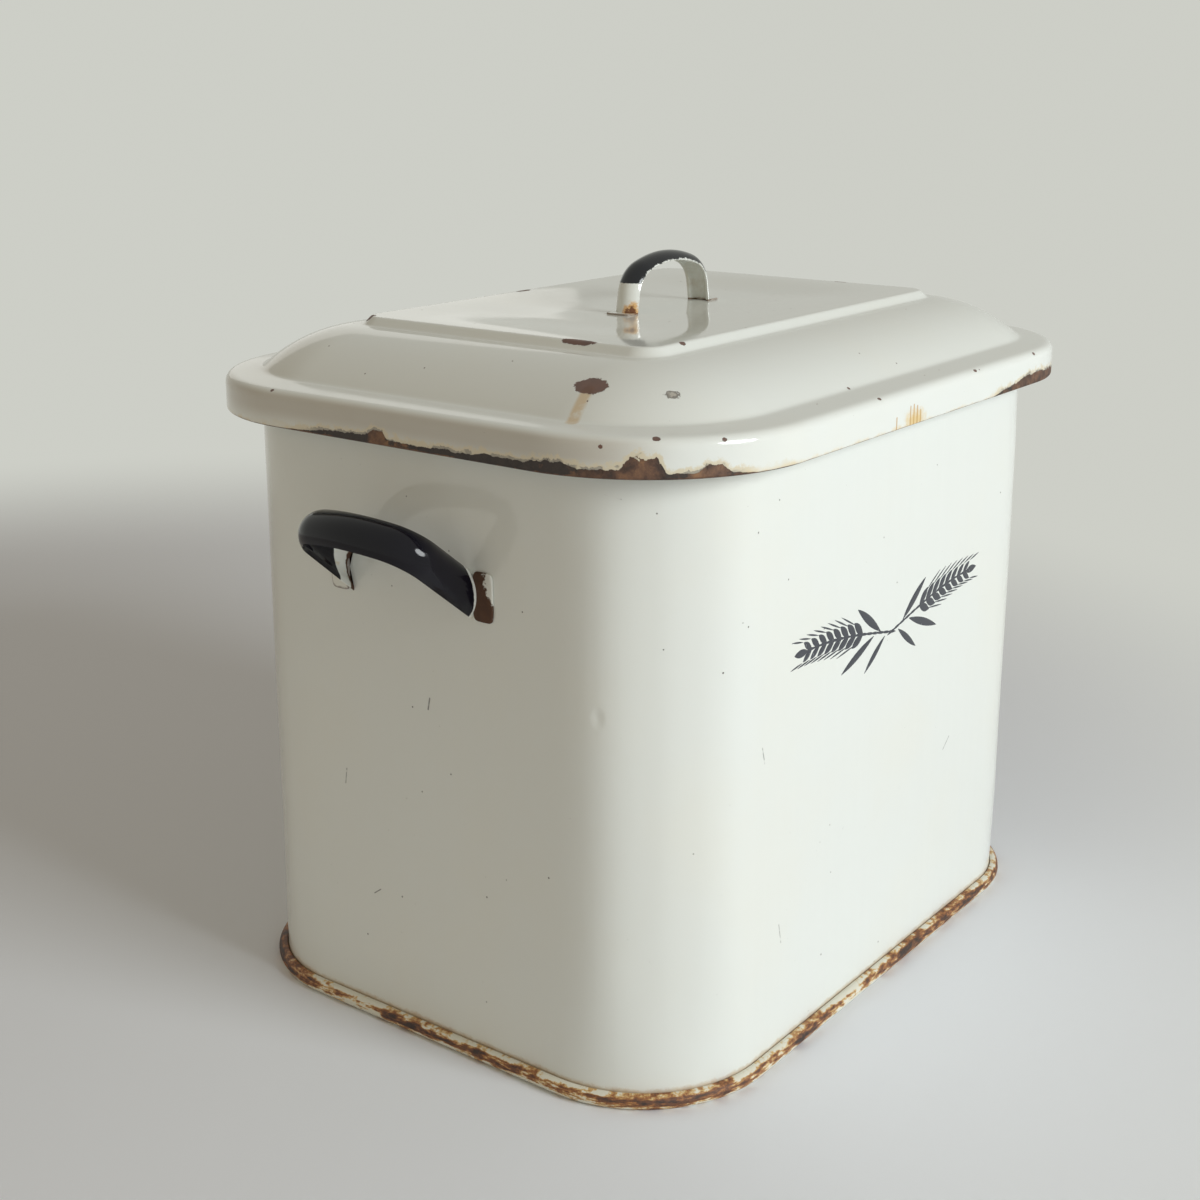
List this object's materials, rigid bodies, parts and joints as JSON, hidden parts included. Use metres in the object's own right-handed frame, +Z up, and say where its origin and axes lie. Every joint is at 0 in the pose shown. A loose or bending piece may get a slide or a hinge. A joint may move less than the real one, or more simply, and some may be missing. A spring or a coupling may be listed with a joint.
{
  "type": "bread box",
  "caption": "Tall round-cornered enamelled steel bread box with a wired rim, a seamed base, a strap handle on each end and a lift-off domed lid with a strap handle.",
  "frame": {"origin": "on the table under the middle of the box", "axes": "+Z up, +X along the width towards the right end handle; the front faces -Y"},
  "size_m": [0.4104, 0.2832, 0.3265],
  "materials": {
    "white_enamel": "gloss vitreous enamel, chipped and rusted at the lid's edge",
    "cream_enamel": "worn cream-white enamel with rust on the seam",
    "black_enamel": "gloss blue-black enamel over white at the feet",
    "wire_steel": "drawn wire"
  },
  "bodies": {
    "bin": {"body_wall": "white_enamel", "rim_wire": "wire_steel", "base_pan": "cream_enamel", "side_handle_left": "black_enamel", "side_handle_right": "black_enamel"},
    "lid": {"lid_shell": "white_enamel", "lid_handle": "black_enamel"}
  },
  "joints": [
    {"name": "lid_lift", "type": "slide", "parent": "bin", "child": "lid", "axis": [0, 0, 1], "range_m": [0, 0.22]}
  ]
}
